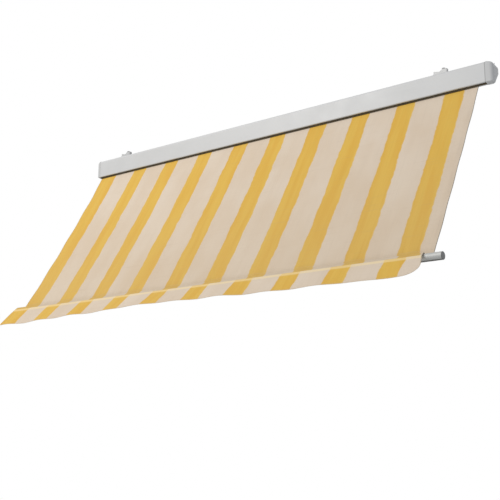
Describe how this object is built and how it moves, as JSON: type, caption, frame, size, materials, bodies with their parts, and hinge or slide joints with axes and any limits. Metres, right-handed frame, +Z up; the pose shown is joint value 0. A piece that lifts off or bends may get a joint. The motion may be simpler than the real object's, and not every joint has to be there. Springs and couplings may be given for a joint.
{
  "type": "folding arm awning",
  "caption": "Retractable fabric awning with a boxed roller, folding arms, wall brackets and a striped valance on its front bar.",
  "frame": {"origin": "on the wall, half way between the two wall brackets", "axes": "+X along the wall to the right as seen from the front, +Y into the wall, +Z up"},
  "size_m": [3.0736, 0.8866, 1.3247],
  "materials": {
    "brackets": "satin, light grey",
    "cassette_paint": "satin powder coat, light grey",
    "arm_paint": "satin powder coat, light grey",
    "moulded_ends": "fine grained, grey",
    "steel": "bright zinc",
    "zinc_tube": "galvanised",
    "black_plastic": "matt black",
    "seal_rubber": "matt black",
    "striped_cloth": "woven, yellow and cream block stripes",
    "cream_cloth": "woven, cream"
  },
  "bodies": {
    "cassette": {"front_hood": "cassette_paint", "back_profile": "cassette_paint", "lip_seal": "seal_rubber", "left_end_plate": "steel", "right_end_plate": "steel", "right_end_cap": "moulded_ends", "left_end_cap": "moulded_ends", "idler_bearing": "black_plastic", "tube_motor": "black_plastic", "cable_gland": "black_plastic", "right_wall_bracket": "brackets", "right_clamp_jaw": "brackets", "right_clamp_screw": "steel", "right_wall_bolt_1": "steel", "right_wall_bolt_2": "steel", "right_shoulder_bracket": "arm_paint", "right_shoulder_pin": "steel", "left_wall_bracket": "brackets", "left_clamp_jaw": "brackets", "left_clamp_screw": "steel", "left_wall_bolt_1": "steel", "left_wall_bolt_2": "steel", "left_shoulder_bracket": "arm_paint", "left_shoulder_pin": "steel", "main_cloth": "striped_cloth"},
    "roller": {"roller_tube": "zinc_tube", "roller_keder": "black_plastic", "cloth_turns": "cream_cloth", "idler_plug": "black_plastic", "crown_ring": "black_plastic", "drive_adapter": "black_plastic"},
    "right_upper_arm_body": {"right_shoulder_eye": "arm_paint", "right_upper_arm": "arm_paint", "right_arm_spring": "steel", "right_elbow_fork": "arm_paint", "right_elbow_pin": "steel"},
    "right_forearm_body": {"right_elbow_eye": "arm_paint", "right_forearm": "arm_paint", "right_wrist_eye": "arm_paint"},
    "left_upper_arm_body": {"left_shoulder_eye": "arm_paint", "left_upper_arm": "arm_paint", "left_arm_spring": "steel", "left_elbow_fork": "arm_paint", "left_elbow_pin": "steel"},
    "left_forearm_body": {"left_elbow_eye": "arm_paint", "left_forearm": "arm_paint", "left_wrist_eye": "arm_paint"},
    "front_bar_body": {"front_bar": "cassette_paint", "right_bar_plug": "moulded_ends", "left_bar_plug": "moulded_ends", "cloth_keder": "black_plastic", "valance_keder": "black_plastic", "valance": "striped_cloth", "right_wrist_bracket": "arm_paint", "right_wrist_pin": "steel", "left_wrist_bracket": "arm_paint", "left_wrist_pin": "steel"}
  },
  "joints": [
    {"name": "right_shoulder", "type": "hinge", "parent": "cassette", "child": "right_upper_arm_body", "pos_m": [1.195, -0.05095, -0.16123], "axis": [0, -0.8471, 0.5314], "range_deg": [-65.83, 0], "deforming": ["main_cloth"]},
    {"name": "right_elbow", "type": "hinge", "parent": "right_upper_arm_body", "child": "right_forearm_body", "pos_m": [0.94839, -0.38193, -0.68886], "axis": [0, -0.8471, 0.5314], "range_deg": [0, 131.66]},
    {"name": "right_wrist", "type": "hinge", "parent": "right_forearm_body", "child": "front_bar_body", "pos_m": [1.195, -0.71291, -1.21649], "axis": [0, -0.8471, 0.5314], "range_deg": [-65.83, 0]},
    {"name": "left_shoulder", "type": "hinge", "parent": "cassette", "child": "left_upper_arm_body", "pos_m": [-1.195, -0.05095, -0.16123], "axis": [0, -0.8471, 0.5314], "range_deg": [0, 65.83]},
    {"name": "left_elbow", "type": "hinge", "parent": "left_upper_arm_body", "child": "left_forearm_body", "pos_m": [-0.94839, -0.38193, -0.68886], "axis": [0, -0.8471, 0.5314], "range_deg": [-131.66, 0]},
    {"name": "roller_turn", "type": "hinge", "parent": "cassette", "child": "roller", "pos_m": [0, -0.06817, -0.03946], "axis": [1, 0, 0], "range_deg": [0, 2402.8]}
  ],
  "couplings": [
    {"joint": "right_shoulder", "follows": "right_wrist", "ratio": 1},
    {"joint": "right_elbow", "follows": "right_wrist", "ratio": -2},
    {"joint": "left_shoulder", "follows": "right_wrist", "ratio": -1},
    {"joint": "left_elbow", "follows": "right_wrist", "ratio": 2},
    {"joint": "roller_turn", "follows": "right_wrist", "ratio": -36.5}
  ]
}
